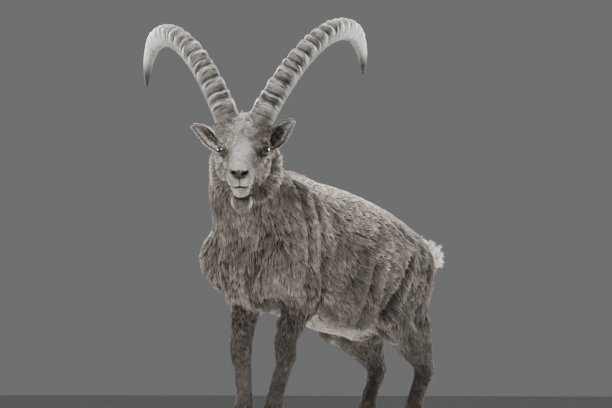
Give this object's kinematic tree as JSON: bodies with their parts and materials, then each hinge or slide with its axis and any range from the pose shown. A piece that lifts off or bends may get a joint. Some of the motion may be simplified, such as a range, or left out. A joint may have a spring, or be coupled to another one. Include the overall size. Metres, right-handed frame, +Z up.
{
  "type": "alpine ibex",
  "caption": "Standing adult male alpine ibex with long ridged backswept horns, a short beard and a raised tail tuft, its head turned to its left.",
  "frame": {"origin": "on the floor, under the middle of the bounding box", "axes": "+Z up, the animal faces -Y, its own left side is +X"},
  "size_m": [0.7524, 1.2248, 1.2414],
  "materials": {
    "coat": "medium-length animal coat",
    "coat_dark": "coarse beard hair",
    "horn": "dry ridged horn",
    "hoof": "dull dark horn",
    "eye": "wet and glossy"
  },
  "bodies": {
    "root": {"beard": "coat_dark", "dewclaw_front_left_inner": "hoof", "dewclaw_front_left_outer": "hoof", "dewclaw_front_right_inner": "hoof", "dewclaw_front_right_outer": "hoof", "dewclaw_hind_left_inner": "hoof", "dewclaw_hind_left_outer": "hoof", "dewclaw_hind_right_inner": "hoof", "dewclaw_hind_right_outer": "hoof", "ear_left": "coat", "ear_right": "coat", "eye_left": "eye", "eye_right": "eye", "head": "coat", "hoof_front_left_inner": "hoof", "hoof_front_left_outer": "hoof", "hoof_front_right_inner": "hoof", "hoof_front_right_outer": "hoof", "hoof_hind_left_inner": "hoof", "hoof_hind_left_outer": "hoof", "hoof_hind_right_inner": "hoof", "hoof_hind_right_outer": "hoof", "horn_left": "horn", "horn_right": "horn", "leg_front_left": "coat", "leg_front_right": "coat", "leg_hind_left": "coat", "leg_hind_right": "coat", "neck": "coat", "tail": "coat", "torso": "coat"}
  },
  "joints": []
}
